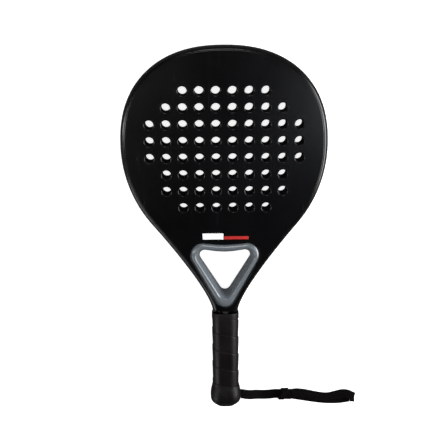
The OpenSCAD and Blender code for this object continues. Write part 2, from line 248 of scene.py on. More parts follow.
class Paint:
    """A material's node tree, with short ways to add its nodes."""

    def __init__(self, name, roughness, coordinates="Object", **sockets):
        self.material = bpy.data.materials.new(name)
        self.material.use_nodes = True
        self.nodes = self.material.node_tree.nodes
        self.links = self.material.node_tree.links
        self.shader = self.nodes["Principled BSDF"]
        self.place = self.nodes.new("ShaderNodeTexCoord").outputs[coordinates]
        self.shader.inputs["Roughness"].default_value = roughness
        for socket, value in sockets.items():
            self.shader.inputs[socket.replace("_", " ")].default_value = value

    def put(self, socket, value):
        """Links a node's output to the socket, or sets a plain value on it."""
        if isinstance(value, bpy.types.NodeSocket):
            self.links.new(value, socket)
        else:
            socket.default_value = value

    def node(self, kind, inputs, **settings):
        node = self.nodes.new(kind)
        for name, value in settings.items():
            setattr(node, name, value)
        for socket, value in inputs.items():
            self.put(node.inputs[socket], value)
        return node

    def math(self, operation, a, b=0.0):
        return self.node("ShaderNodeMath", {0: a, 1: b}, operation=operation).outputs[0]

    def noise(self, scale, detail=3.0, place=None):
        """Cloudy noise of this many lumps a metre, from 0 to 1."""
        node = self.node("ShaderNodeTexNoise", {"Vector": place or self.place, "Scale": scale,
                                                "Detail": detail})
        return node.outputs["Fac"]

    def cells(self, scale, place=None):
        """Distance from the middle of small cells, for pores and grain."""
        node = self.node("ShaderNodeTexVoronoi", {"Vector": place or self.place, "Scale": scale})
        return node.outputs["Distance"]

    def stretched(self, x, y, z):
        """The surface's coordinates scaled along each axis."""
        return self.node("ShaderNodeMapping", {"Vector": self.place, "Scale": (x, y, z)}).outputs[0]

    def between(self, value, low, high, to_low=0.0, to_high=1.0):
        """The value's range from low to high, clamped and spread over another range."""
        node = self.node("ShaderNodeMapRange", {"Value": value, "From Min": low, "From Max": high,
                                                "To Min": to_low, "To Max": to_high})
        return node.outputs[0]

    def mix(self, factor, a, b):
        node = self.node("ShaderNodeMix", {"Factor": factor}, data_type="RGBA")
        self.put(node.inputs[6], (*a, 1.0) if isinstance(a, tuple) else a)
        self.put(node.inputs[7], (*b, 1.0) if isinstance(b, tuple) else b)
        return node.outputs[2]

    def colour(self, value):
        self.put(self.shader.inputs["Base Color"], value)

    def rough(self, value):
        self.put(self.shader.inputs["Roughness"], value)

    def bump(self, *layers):
        """Relief from (height, depth in millimetres) layers, one over the other."""
        normal = None
        for height, depth in layers:
            inputs = {"Height": height, "Distance": depth * MM}
            if normal:
                inputs["Normal"] = normal
            normal = self.node("ShaderNodeBump", inputs).outputs[0]
        self.links.new(normal, self.shader.inputs["Normal"])

    def axes(self):
        node = self.node("ShaderNodeSeparateXYZ", {"Vector": self.place})
        return node.outputs


def twill(paint, pitch):
    """Diagonal ribs that change side every few threads, as in carbon cloth."""
    across, along, _ = paint.axes()
    diagonal = paint.math("ADD", across, along)
    ribs = paint.math("PINGPONG", diagonal, pitch * MM)
    steps = paint.math("PINGPONG", paint.math("SUBTRACT", across, along), 3 * pitch * MM)
    return paint.math("ADD", paint.between(ribs, 0, pitch * MM),
                      paint.between(steps, 0, 3 * pitch * MM, 0, 0.4))


def carbon_face():
    """Satin black lacquer over twill, with faint clouds and hairline scuffs."""
    paint = Paint("face_carbon", 0.22, Specular_IOR_Level=0.4)
    clouds = paint.noise(14, 4)
    scuffs = paint.noise(260, 2, paint.stretched(1, 0.06, 1))
    paint.colour(paint.mix(clouds, (0.001, 0.001, 0.0012), (0.0018, 0.0018, 0.0022)))
    paint.rough(paint.math("ADD", paint.between(clouds, 0.3, 0.7, 0.2, 0.24),
                           paint.between(scuffs, 0.62, 0.8, 0, 0.08)))
    paint.bump((twill(paint, 1.1), 0.006), (paint.noise(900, 2), 0.008))
    return paint.material


def carbon_rim():
    """The same lacquer on the rim, a little glossier, with rubbed patches along its outer edge."""
    paint = Paint("rim_carbon", 0.2, Specular_IOR_Level=0.45)
    edge = paint.node("ShaderNodeNewGeometry", {}).outputs["Pointiness"]
    worn_edge = paint.between(edge, 0.5, 0.56)
    rubbed = paint.math("MULTIPLY", worn_edge, paint.between(paint.noise(90, 4), 0.5, 0.72))
    paint.colour(paint.mix(rubbed, (0.002, 0.0019, 0.0019), (0.014, 0.0125, 0.0115)))
    paint.rough(paint.between(paint.noise(60, 4), 0.3, 0.7, 0.17, 0.23))
    paint.bump((paint.noise(700, 3), 0.008), (paint.noise(55, 2), 0.03))
    return paint.material


def grey_insert():
    """Glossy moulded slate grey plastic with a faint flow pattern."""
    paint = Paint("insert_grey", 0.24, Specular_IOR_Level=0.6, Coat_Weight=0.5, Coat_Roughness=0.12)
    flow = paint.noise(45, 3, paint.stretched(1, 0.4, 1))
    paint.colour(paint.mix(flow, (0.108, 0.124, 0.14), (0.14, 0.158, 0.175)))
    paint.rough(paint.between(paint.noise(400, 3), 0.3, 0.7, 0.2, 0.3))
    paint.bump((paint.noise(1400, 2), 0.004), (paint.noise(70, 3), 0.012))
    return paint.material


def print_ink(name, light, dark):
    """Screen-printed ink: a fine dot texture and slightly uneven cover."""
    paint = Paint(name, 0.35)
    paint.colour(paint.mix(paint.between(paint.noise(800, 3), 0.25, 0.5), dark, light))
    paint.rough(paint.between(paint.noise(300, 2), 0.3, 0.7, 0.3, 0.42))
    paint.bump((paint.cells(2600), 0.006))
    return paint.material


def grip_skin():
    """Warm black polyurethane with a fine leather grain and handled, shinier patches."""
    paint = Paint("grip_skin", 0.42, Specular_IOR_Level=0.2)
    worn = paint.noise(32, 4)
    grain = paint.cells(1500)
    pores = paint.math("MULTIPLY", grain, paint.noise(2400, 3))
    paint.colour(paint.mix(worn, (0.0026, 0.0017, 0.0018), (0.0062, 0.0041, 0.0043)))
    paint.rough(paint.between(worn, 0.3, 0.7, 0.36, 0.5))
    paint.bump((pores, 0.05), (paint.noise(260, 3), 0.05))
    return paint.material


def finishing_band():
    """Stretch tape with threads running round the handle."""
    paint = Paint("tape_black", 0.5, Specular_IOR_Level=0.22)
    threads = paint.math("PINGPONG", paint.axes()[1], 0.35 * MM)
    paint.colour(paint.mix(paint.noise(120, 3), (0.0035, 0.0022, 0.0021), (0.007, 0.0044, 0.0042)))
    paint.rough(paint.between(paint.noise(500, 2), 0.3, 0.7, 0.42, 0.58))
    paint.bump((paint.between(threads, 0, 0.35 * MM), 0.05), (paint.noise(900, 3), 0.03))
    return paint.material


def soft_rubber():
    """Moulded rubber with a fine spark-eroded texture."""
    paint = Paint("cap_rubber", 0.45, Specular_IOR_Level=0.2)
    paint.colour(paint.mix(paint.noise(40, 4), (0.0025, 0.0019, 0.002), (0.005, 0.0038, 0.0041)))
    paint.rough(paint.between(paint.noise(150, 3), 0.3, 0.7, 0.38, 0.52))
    paint.bump((paint.noise(1600, 3), 0.03))
    return paint.material


def webbing(name, coordinates):
    """Herringbone webbing: ribs that slant one way and the other across its width."""
    paint = Paint(name, 0.75, coordinates, Specular_IOR_Level=0.06)
    along, across, _ = paint.axes()
    slant = paint.math("PINGPONG", across, 2.0 * MM)
    ribs = paint.between(paint.math("PINGPONG", paint.math("ADD", along, slant), 0.5 * MM), 0, 0.5 * MM)
    fibres = paint.noise(3200, 2)
    worn = paint.noise(60, 3)
    shade = paint.math("MULTIPLY", ribs, paint.between(worn, 0.3, 0.7, 0.5, 1.0))
    paint.colour(paint.mix(shade, (0.0008, 0.0006, 0.0006), (0.0036, 0.0024, 0.002)))
    paint.rough(paint.between(fibres, 0.3, 0.7, 0.65, 0.9))
    paint.bump((ribs, 0.22), (fibres, 0.06))
    return paint.material


def core_foam():
    """Dense closed-cell foam, cut through by the drill."""
    paint = Paint("core_foam", 0.85, Specular_IOR_Level=0.2)
    paint.colour(paint.mix(paint.noise(300, 4), (0.006, 0.006, 0.0065), (0.014, 0.014, 0.015)))
    paint.rough(paint.between(paint.noise(700, 2), 0.3, 0.7, 0.78, 0.92))
    paint.bump((paint.cells(1300), 0.12))
    return paint.material


def raw_laminate():
    """Unpainted laminate, with the cloth's ribs showing."""
    paint = Paint("core_laminate", 0.55)
    ribs = twill(paint, 1.1)
    paint.colour(paint.mix(ribs, (0.012, 0.012, 0.012), (0.03, 0.03, 0.031)))
    paint.bump((ribs, 0.05))
    return paint.material


def handle_foam():
    """Moulded structural foam with a closed, slightly pitted skin."""
    paint = Paint("handle_foam", 0.7)
    pits = paint.cells(500)
    paint.colour(paint.mix(paint.noise(60, 4), (0.003, 0.003, 0.003), (0.007, 0.007, 0.007)))
    paint.rough(paint.between(pits, 0.1, 0.6, 0.8, 0.6))
    paint.bump((pits, 0.1))
    return paint.material


def hardwood():
    """Beech end plugs: grain along the handle and short pores."""
    paint = Paint("plug_wood", 0.6)
    grain = paint.noise(500, 4, paint.stretched(1, 0.08, 1))
    paint.colour(paint.mix(grain, (0.30, 0.19, 0.10), (0.52, 0.37, 0.22)))
    paint.rough(paint.between(grain, 0.3, 0.7, 0.5, 0.7))
    paint.bump((grain, 0.05))
    return paint.material


def badge_plastic():
    """Fine-textured dark grey plastic."""
    paint = Paint("badge_grey", 0.3, Specular_IOR_Level=0.5)
    paint.colour(paint.mix(paint.noise(200, 3), (0.055, 0.058, 0.062), (0.075, 0.078, 0.083)))
    paint.rough(paint.between(paint.noise(800, 2), 0.3, 0.7, 0.26, 0.38))
    paint.bump((paint.noise(2500, 2), 0.01))
    return paint.material


def plated_steel():
    """Zinc-plated steel with fine turning marks."""
    paint = Paint("steel", 0.3, Metallic=1.0)
    marks = paint.noise(2500, 2, paint.stretched(0.1, 1, 1))
    paint.colour(paint.mix(paint.noise(300, 3), (0.5, 0.5, 0.52), (0.66, 0.65, 0.63)))
    paint.rough(paint.between(marks, 0.3, 0.7, 0.22, 0.42))
    paint.bump((marks, 0.01))
    return paint.material


# ---------------------------------------------------------------- head

def right_outline():
    """The right half of the racket's outline, from the top of the head down into the handle."""
    power = 2 / 2.3
    side_y = 110.0
    a = np.radians(np.linspace(90, 0, 61))
    crown = np.stack([HEAD_HALF_WIDTH * np.abs(np.cos(a)) ** power,
                      side_y + (HALF_LENGTH - side_y) * np.abs(np.sin(a)) ** power], 1)
    crown[0, 0] = 0.0
    radius = 154.7
    sweep = math.radians(40.4)
    a = np.linspace(0, sweep, 19)[1:]
    shoulder = np.stack([HEAD_HALF_WIDTH - radius + radius * np.cos(a), side_y - radius * np.sin(a)], 1)
    # the arm is a Bezier curve that leaves along the shoulder and arrives straight down
    start = shoulder[-1]
    neck = np.array([15.8, -101.5])
    pull = start - 48 * np.array([math.sin(sweep), math.cos(sweep)])
    above = neck + (0, 19)
    t = np.linspace(0, 1, 49)[1:, None]
    arm = (1 - t) ** 3 * start + 3 * (1 - t) ** 2 * t * pull + 3 * (1 - t) * t ** 2 * above + t ** 3 * neck
    handle = np.array([(14.4, -102.8), (12.3, -104.5), (11.5, -110.5), (11.5, HANDLE_END_Y)])
    return np.vstack([crown, shoulder, arm, handle]), len(crown) + len(shoulder) - 1


def inward_normals(side):
    """Normals of the right half that point into the racket; the handle's point straight across."""
    ahead = np.vstack([[1.0, 0.0], unit(side[2:] - side[:-2]), [0.0, -1.0]])
    ahead[-2] = (0.0, -1.0)
    return np.stack([ahead[:, 1], -ahead[:, 0]], 1)


OUTLINE, SHOULDER_END = right_outline()
INWARD = inward_normals(OUTLINE)
INSERT_TIP_Y = -107.0
INSERT_CORNER = (55.3, -9.2)
INSERT_SLOPE = INSERT_CORNER[0] / (INSERT_CORNER[1] - INSERT_TIP_Y)
INSERT_GAP = 0.2
CORE_HALF_WIDTH = 3.0


def tube_widths():
    """Width of the rim tube at each point: it narrows where the insert and then the core need room."""
    gap = INSERT_GAP / math.cos(math.atan(INSERT_SLOPE))
    widths = []
    for i, ((x, y), n) in enumerate(zip(OUTLINE, INWARD)):
        to_insert = (x - INSERT_SLOPE * (y - INSERT_TIP_Y) - gap) / (INSERT_SLOPE * n[1] - n[0])
        to_core = (x - CORE_HALF_WIDTH) / max(0.001, -n[0])
        widths.append(RIM_W if i <= SHOULDER_END else min(RIM_W, to_insert, to_core))
    return widths


def rim_half_depth(y):
    """Half thickness of the rim tube at a height y: it thins where it enters the handle."""
    return np.interp(y, [-110.5, -104.5, FACE_END_Y], [10.5, 10.8, MID_Z])


# Half of the rim's section after its inner edge: (distance in from the outline, share of the half depth)
RIM_LIP = ((EDGE_W, 0.937), (EDGE_W, 0.95), (5.3, 0.965), (5.0, 0.966), (4.5, 0.9585), (3.95, 0.9465),
           (3.45, 0.93), (2.9, 0.902), (2.1, 0.845), (1.2, 0.74), (0.5, 0.6), (0.12, 0.43), (0, 0.27),
           (0, 0.1))
# Half of the bore's section, with one point more: (share of its width in from the outer wall, share of
# the half depth)
BORE_LIP = ((1, 0.83), (0.86, 0.83), (0.72, 0.83), (0.6, 0.83), (0.5, 0.83), (0.4, 0.82), (0.32, 0.8),
            (0.25, 0.77), (0.19, 0.72), (0.13, 0.66), (0.08, 0.57), (0.04, 0.45), (0.01, 0.32), (0, 0.2),
            (0, 0.08))


def mirrored_section(half):
    """A whole section from its front half."""
    return list(half) + [(d, -h) for d, h in reversed(half)]


def rim_shape():
    """The rim tube, hollow, swept from one end of the handle over the head to the other end."""
    wall = 2.0
    widths = tube_widths()
    outer, bore = [], []
    stations = [(i, -1) for i in range(len(OUTLINE) - 1, 0, -1)] + [(i, 1) for i in range(len(OUTLINE))]
    for i, side in stations:
        width = widths[i]
        lips = (mirrored_section([(width, 0.937), *RIM_LIP]),
                mirrored_section([(wall + s * (width - 2 * wall), h) for s, h in BORE_LIP]))
        for rings, section in zip((outer, bore), lips):
            inset = np.array(section)
            flat = OUTLINE[i] + inset[:, :1] * INWARD[i]
            height = MID_Z + inset[:, 1] * rim_half_depth(OUTLINE[i][1])
            rings.append(np.stack([side * flat[:, 0], flat[:, 1], height], 1))
    n = len(outer[0])
    points, faces = joined(skin(outer, capped=False), skin(bore, capped=False))
    bore_base = len(outer) * n
    for end in (0, len(outer) - 1):
        for k in range(n):
            a, b = end * n + k, end * n + (k + 1) % n
            faces.append((a, b, bore_base + b, bore_base + a))
    return points, faces


def insert_outline(top_y, corner, tip_y, radii):
    """A rounded triangle with its tip down and a fourth, shallow corner in the middle of its top."""
    x, y = corner
    return anticlockwise(filleted([(0, top_y), (x, y), (0, tip_y), (-x, y)], radii, 25, 30))


INSERT_OUTER = insert_outline(-15.4, INSERT_CORNER, INSERT_TIP_Y, [150, 15, 12.8, 15])
INSERT_RIDGE = insert_outline(-27.6, (38.4, -21.3), -80.9, [100, 6.8, 6.9, 6.8])


def hole_centres():
    """Centres of the face holes, row by row from the top."""
    return [((k - (count - 1) / 2) * HOLE_PITCH, HOLE_MID_Y + (3.5 - row) * HOLE_PITCH)
            for row, count in enumerate(ROW_COUNTS) for k in range(count)]


def face_outline():
    """The face's own edge, inside the rim's rounded lip and closed below the insert."""
    right = [p + EDGE_W * n for p, n in zip(OUTLINE, INWARD) if p[1] > -96.5]
    right = np.vstack([right, [(9.3, -98.2), (8.1, -99.1), (6.3, -99.55), (3, FACE_END_Y)]])
    left = right[::-1] * (-1, 1)
    return anticlockwise(np.vstack([right, left[:-1]]))


def inside(points, outline):
    """Which points lie inside a closed outline."""
    x, y = points.T
    hits = np.zeros(len(points), bool)
    for (x0, y0), (x1, y1) in zip(outline, np.roll(outline, -1, 0)):
        crosses = (y0 > y) != (y1 > y)
        if crosses.any():
            hits ^= crosses & (x < (x1 - x0) * (y - y0) / (y1 - y0 + 1e-12) + x0)
    return hits


def drilled_slab(edge, softness, windows, profile, surface, under):
    """A flat slab with the face holes through it, from its surface height to the height under it.

    softness is how much of the profile's rounding the outer edge gets at each point, windows are further
    (outline, softness) openings, and profile holds (distance from an edge, depth below the surface).
    """
    hole = circle(40)
    # each loop with the way from its edge into the slab
    loops = [(edge, -ring_normals(edge) * softness)]
    loops += [(outline, ring_normals(outline) * soft) for outline, soft in windows]
    loops += [(np.array(c) + HOLE_R * hole, hole) for c in hole_centres()]
    down = math.copysign(1, under - surface)
    sizes = [len(loop) for loop, _ in loops]
    starts = [sum(sizes[:i]) for i in range(len(sizes))]
    total = sum(sizes)
    rows = []
    for distance, depth in profile:
        flat = np.vstack([loop + distance * n for loop, n in loops])
        rows.append(np.column_stack([flat, np.full(total, surface + down * depth)]))
    faces = []
    for r in range(len(profile) - 1):
        for start, size in zip(starts, sizes):
            for k in range(size):
                a, b = start + k, start + (k + 1) % size
                faces.append((r * total + a, r * total + b, (r + 1) * total + b, (r + 1) * total + a))
    edges = [(start + k, start + (k + 1) % size) for start, size in zip(starts, sizes) for k in range(size)]
    sheet = rows[0][:, :2]
    found = delaunay_2d_cdt([Vector(p) for p in sheet.tolist()], edges, [], 1, 1e-5)
    source = [origin[0] for origin in found[3]]
    triangles = np.array([[source[i] for i in face] for face in found[2]])
    middles = sheet[triangles].mean(axis=1)
    loop_on_sheet = [sheet[start:start + size] for start, size in zip(starts, sizes)]
    keep = inside(middles, loop_on_sheet[0])
    for opening in loop_on_sheet[1:]:
        keep &= ~inside(middles, opening)
    last_row = (len(profile) - 1) * total
    for triangle in triangles[keep].tolist():
        faces.append(tuple(triangle))
        faces.append(tuple(i + last_row for i in reversed(triangle)))
    return np.vstack(rows), faces


def face_shape(outward):
    """A drilled face sheet with softened edges; outward is 1 for the front face and -1 for the rear."""
    edge = face_outline()
    # the rounding fades down the arms, where the sheet is only a narrow strip beside the insert
    softness = np.interp(edge[:, 1], [-60, 20], [0.35, 1.0])[:, None]
    profile = ((1.3, 0), (0.95, 0), (0.6, 0.06), (0.3, 0.2), (0.1, 0.42), (0, 0.75), (0, FACE_T))
    surface = MID_Z * (1 + outward)
    under = surface - outward * FACE_T
    return drilled_slab(edge, softness, [(INSERT_OUTER, 0.35)], profile, surface, under)


def foam_shape():
    """The foam core between the faces, drilled with them, down to where the bridge begins."""
    widths = np.array(tube_widths())[:, None]
    right = (OUTLINE + widths * INWARD)[:SHOULDER_END + 1]
    edge = anticlockwise(np.vstack([right, right[:0:-1] * (-1, 1)]))
    profile = ((0, 0), (0, 2 * (MID_Z - FACE_T)))
    return drilled_slab(edge, 0.0, [], profile, 2 * MID_Z - FACE_T, FACE_T)


# Profile of an insert half: (share of the way from the outer edge to the ridge, height above mid plane)
INSERT_PROFILE = ((0.0, 0.0), (0.0, 9.0), (0.0, 15.4), (0.008, 16.3), (0.035, 16.9), (0.09, 17.4),
                  (0.16, 17.98), (0.24, 18.5), (0.32, 18.85), (0.4, 19.02), (0.46, 19.05), (0.52, 18.9),
                  (0.58, 18.4), (0.65, 17.3), (0.73, 15.5), (0.81, 12.9), (0.89, 9.6), (0.945, 6.4),
                  (0.98, 3.3), (0.995, 0.8), (0.985, 0.0))


def insert_shape(side):
    """One moulded half of the throat insert; side is 1 at the front and -1 at the rear."""
    rings = []
    for share, height in spline(INSERT_PROFILE, 3):
        share, height = min(max(share, 0.0), 1.0), min(max(height, 0.0), 19.1)
        flat = INSERT_OUTER + share * (INSERT_RIDGE - INSERT_OUTER)
        rings.append(np.column_stack([flat, np.full(len(flat), MID_Z + side * height)]))
    return skin(rings, closed=True)


# The printed bars: (left, bottom, width, height)
WHITE_BAR = (-27.5, -7.6, 25.5, 7.6)
RED_BAR = (-1.2, -7.6, 30.2, 3.8)


def ink_shape(left, bottom, width, height):
    """A plain printed bar with rounded corners, standing a hair above the lacquer."""
    right = left + width
    upper = bottom + height
    outline = filleted([(left, bottom), (right, bottom), (right, upper), (left, upper)], [0.7] * 4, 8, 10)
    normals = ring_normals(anticlockwise(outline))
    top = 2 * MID_Z
    rings = [np.column_stack([outline + normals * d, np.full(len(outline), z)])
             for d, z in ((0, top - 0.2), (0, top + 0.02), (-0.04, top + 0.05), (-0.12, top + 0.06))]
    return skin(rings)


# ---------------------------------------------------------------- handle

GRIP_PITCH = 22.4
GRIP_SEAM_Y = -103.4  # height of a seam on the left side of the handle
GRIP_HALVES = (16.5, 14.9)  # half width and half depth of the octagon that the grip is wound to
GRIP_ROUND = 11.2  # radius of that octagon's corners
# One turn of the grip from its upper edge down: (share of the turn, height above that octagon)
TURN_PROFILE = ((0.0, -0.4), (0.006, -0.15), (0.016, 0.1), (0.035, 0.25), (0.065, 0.3), (0.12, 0.29),
                (0.22, 0.22), (0.34, 0.13), (0.46, 0.04), (0.58, -0.06), (0.7, -0.16), (0.8, -0.25),
                (0.88, -0.33), (0.94, -0.38), (0.98, -0.42), (1.0, -0.44))


def grip_shape():
    """The wound grip: one helical band whose turns stand proud along their upper edges."""
    count = 128
    turns = 6
    outline, normals = octagon(*GRIP_HALVES, GRIP_ROUND, count)
    share, lift = spline(TURN_PROFILE, 2).T
    points = []
    for i in range(turns * count + 1):
        turn = i / count
        top_y = GRIP_SEAM_Y + GRIP_PITCH * (turn - 0.5 - turns + 2)
        uneven = 1 + 0.16 * math.sin(2.3 * turn * math.pi) + 0.1 * math.sin(7 * math.pi * turn)
        flat = outline[i % count] + normals[i % count] * (lift * uneven)[:, None]
        points.append(np.column_stack([flat[:, 0], top_y - share * GRIP_PITCH, flat[:, 1] + MID_Z]))
    rows = len(share)
    faces = []
    for i in range(turns * count):
        for j in range(rows - 1):
            a = i * rows + j
            faces.append((a, a + rows, a + rows + 1, a + 1))
        if i < (turns - 1) * count:
            # the lower edge of the turn above meets this turn's upper edge
            low = (i + count) * rows + rows - 1
            high = i * rows
            faces.append((low, low + rows, high + rows, high))
    return np.vstack(points), faces


def trimmed_grip():
    """The wound band cut level at both ends and closed on to an inner sleeve."""
    sharp = 50
    mesh = new_mesh("grip_wrap", grip_shape(), sharp)
    work = bmesh.new()
    work.from_mesh(mesh)
    for y, sign in ((GRIP_TOP_Y, 1), (CAP_TOP_Y, -1)):
        bmesh.ops.bisect_plane(work, geom=work.verts[:] + work.edges[:] + work.faces[:], dist=1e-7,
                               plane_co=(0, y * MM, 0), plane_no=(0, sign, 0), clear_outer=True)
    sleeve, _ = octagon(14.5, 13.1, 1.0, 64)
    inner, _ = skin([handle_ring(sleeve, y) for y in (GRIP_TOP_Y, CAP_TOP_Y)], capped=False)
    verts = [work.verts.new(p) for p in (inner * MM).tolist()]
    n = len(sleeve)
    for k in range(n):
        work.faces.new([verts[k], verts[(k + 1) % n], verts[n + (k + 1) % n], verts[n + k]])
    for y in (GRIP_TOP_Y, CAP_TOP_Y):
        rim = [e for e in work.edges
               if e.is_boundary and all(abs(v.co.y - y * MM) < 1e-5 for v in e.verts)]
        bmesh.ops.bridge_loops(work, edges=rim)
    bmesh.ops.recalc_face_normals(work, faces=work.faces)
    work.to_mesh(mesh)
    work.free()
    shade_smooth(mesh, sharp)
    return mesh


TAPE_TOP_Y = -104.0
# The tape's section from its upper edge down: (distance below the edge, height above the octagon)
TAPE_PROFILE = ((0, -0.5), (0, 0.05), (0.25, 0.3), (1.0, 0.38), (2.2, 0.36), (2.35, 0.2), (2.5, 0.42),
                (4.5, 0.4), (4.65, 0.24), (4.8, 0.46), (7.2, 0.44), (7.7, 0.3), (7.8, 0.05), (7.8, -0.5))


def tape_shape():
    """Finishing tape over the top of the grip, wound with small steps."""
    outline, normals = octagon(*GRIP_HALVES, GRIP_ROUND, 96)
    rings = [handle_ring(outline + normals * lift, TAPE_TOP_Y - drop) for drop, lift in TAPE_PROFILE]
    return skin(rings, closed=True)


# Butt cap from its lip down: (distance below the lip, half width, half depth)
CAP_SLICES = ((0, 16.7, 15.0), (0.3, 17.1, 15.4), (2.5, 17.6, 15.9), (5, 18.2, 16.5), (8, 18.8, 17.0),
              (11, 19.2, 17.3), (14.5, 19.25, 17.3), (17.5, 18.9, 16.9), (20, 18.1, 16.1),
              (22, 16.9, 14.9), (23.7, 15.3, 13.3), (25.0, 13.7, 11.8), (26.1, 12.2, 10.4),
              (27.0, 11.0, 9.3), (27.5, 10.4, 8.7))
CAP_LENGTH = CAP_SLICES[-1][0]
CAP_GROOVES = (9.0, 12.2, 15.4, 18.6)  # distance of each groove below the lip
GROOVE_DEPTH = 0.16
GROOVE_SPREAD = 0.28


def cap_shape():
    """The butt cap's outer form, with shallow moulded grooves round its flare."""
    rings = []
    for drop, half_width, half_depth in spline(CAP_SLICES, 8):
        groove = sum(math.exp(-((drop - g) / GROOVE_SPREAD) ** 2) for g in CAP_GROOVES)
        outline, normals = octagon(half_width, half_depth, half_depth * 0.76, 96)
        y = CAP_TOP_Y - min(drop, CAP_LENGTH)
        rings.append(handle_ring(outline - normals * GROOVE_DEPTH * groove, y))
    return skin(rings)


def prism(outline, low, high):
    """A cutter with a flat outline in the plane of the racket, from one height to another."""
    return skin([np.column_stack([outline, np.full(len(outline), z)]) for z in (low, high)])


def handle_prism(outline, y0, y1):
    """A cutter along the handle with a flat outline across it."""
    return skin([handle_ring(outline, y) for y in (y0, y1)])


def rod(centre, radius, start, length):
    """A round cutter along the handle from y = start."""
    across, height = (centre + radius * circle(32)).T
    ring = np.column_stack([across, np.full(len(across), start), height])
    return skin([ring, ring + (0, length, 0)])


def cap_mesh():
    """The butt cap with its socket, strap slot, pin hole, badge recess and screw holes."""
    swing = math.radians(20)
    reach = 12.0
    play = 6.4
    # the slot is a round back and a mouth that flares by the strap's swing
    throat = play / math.cos(swing)
    mouth = reach * math.tan(swing) + throat
    a = np.linspace(math.radians(100), math.radians(260), 17)
    back = play * np.stack([np.cos(a), np.sin(a)], 1)
    slot = np.vstack([back, [(0, -throat), (reach, -mouth), (reach, mouth), (0, throat)]]) + PIN
    socket, _ = octagon(14.6, 13.2, 1.0, 48)
    recess, _ = octagon(10.0, 8.0, 1.2, 48)
    cutters = [handle_prism(socket, CAP_TOP_Y + 1, HANDLE_END_Y - 0.1),
               prism(slot, MID_Z - SLOT_HALF_HEIGHT, MID_Z + SLOT_HALF_HEIGHT),
               prism(PIN + PIN_R * circle(32), 8, 30),
               handle_prism(recess, -HALF_LENGTH + BADGE_DEPTH, -HALF_LENGTH - 1)]
    # a hole for each screw's head, and a longer one for its shank
    cutters += [rod((x, MID_Z - 4), radius, -HALF_LENGTH, length)
                for x in (-7, 7) for radius, length in ((2.1, 3.2), (1.3, 27))]
    mesh = carved(new_mesh("butt_cap_moulding", cap_shape()), [new_mesh("cutter", c) for c in cutters])
    shade_smooth(mesh, SHARP)
    return mesh


def badge_shape():
    """The plain badge over the screws, with two raised rings."""
    # (share of the outline's size, distance in from the end of the handle)
    profile = ((1.0, BADGE_DEPTH), (1.0, 0.3), (0.97, 0.08), (0.93, 0.0), (0.80, 0.0), (0.78, 0.22),
               (0.70, 0.22), (0.68, 0.0), (0.55, 0.0), (0.53, 0.22), (0.30, 0.22), (0.05, 0.22))
    outline, _ = octagon(9.85, 7.85, 1.2, 64)
    return skin([handle_ring(outline * size, -HALF_LENGTH + depth) for size, depth in profile])


# ---------------------------------------------------------------- strap

# The strap's route, the same as the CAD part's, in millimetres
LEAD_PATH = ((19, -214, 19), (21.5, -214, 19), (27, -215.8, 17), (32, -217.5, 13.3), (37, -218.8, 9),
             (42, -220.2, 5), (48, -221.3, 2.6), (56, -221.4, 1.9), (63, -220.5, 2.2), (66, -220.5, 2.2))
UPPER_PATH = ((83, -220, 3.2), (86, -220, 3.2), (93, -219.5, 2.7), (104, -221, 2.5), (115, -223.5, 2.5),
              (126, -225.5, 2.5), (135, -225.5, 2.5), (143.5, -223.3, 3), (151.5, -221, 4.2),
              (158, -221, 5.6), (163.5, -223.8, 5.8), (166.8, -226, 4.3), (166.8, -226.6, 2.6),
              (164.5, -227.1, 1.6), (161.5, -227.3, 1.2))
LOWER_PATH = ((83, -222, 1.2), (86, -222, 1.2), (93, -223.5, 0.9), (106, -225.7, 0.9), (120, -228, 0.9),
              (134, -229.3, 0.9), (147, -229.3, 0.9), (155, -228.4, 0.9), (158.5, -227.6, 1.1),
              (161, -227.3, 1.2))
WEB_W = 12.0
WEB_T = 1.1
LAYER_LIFT = 0.6  # from the middle of the lead to the middle of each of its two layers
KNOT = np.array([76.7, -219.9, 4.6])
# Each turn of the knot: (slant, angle of its thickest point, half its depth and half its height, width
# of its webbing, place along the strap)
KNOT_TURNS = ((0.4, 1.6, (6.9, 4.1), 7.6, -2.0), (0.4, 1.6, (7.4, 4.6), 6.4, -1.4),
              (-0.5, -1.6, (6.6, 3.8), 7.2, 1.6), (-0.5, -1.6, (7.1, 4.3), 6.0, 2.2))
KNOT_TAIL = ((0.5, -3.0, -0.6), (1.9, -5.2, -1.7), (3.6, -7.4, -2.9))


def level_frames(line, wanted=(0.0, 1.0, 0.0)):
    """Directions ahead, across and up along a line, with across as near the wanted one as it can be."""
    ahead = unit(np.gradient(line, axis=0))
    across = unit(np.array(wanted) - (ahead @ wanted)[:, None] * ahead)
    return ahead, across, np.cross(ahead, across)


def band_section(width, thick, count=28):
    """A flat section with round selvedges that are a little thicker than the middle."""
    a = np.linspace(0, 2 * math.pi, count, endpoint=False)
    across = width / 2 * np.sign(np.cos(a)) * np.abs(np.cos(a)) ** 0.55
    up = thick / 2 * np.sign(np.sin(a)) * np.abs(np.sin(a)) ** 0.4
    return across, up * (1 + 0.12 * (np.abs(across) / (width / 2)) ** 6)


def band_mesh(name, line, width=WEB_W, thick=WEB_T, frames=None, closed=False):
    """Webbing swept along a line, with its route stored as a UV layer in metres for the weave."""
    _, side, up = frames or level_frames(line)
    across, height = band_section(width, thick)
    rings = [p + across[:, None] * s + height[:, None] * u for p, s, u in zip(line, side, up)]
    points, faces = skin(rings, closed=closed)
    reach = np.concatenate([[0], np.cumsum(np.linalg.norm(np.diff(line, axis=0), axis=1))])
    mesh = bpy.data.meshes.new(name)
    mesh.from_pydata((points * MM).tolist(), [], faces)
    n = len(across)
    route = mesh.uv_layers.new(name="route")
    for loop in mesh.loops:
        ring, k = divmod(loop.vertex_index, n)
        route.data[loop.index].uv = (reach[ring] * MM, across[k] * MM)
    shade_smooth(mesh, 60)
    return mesh


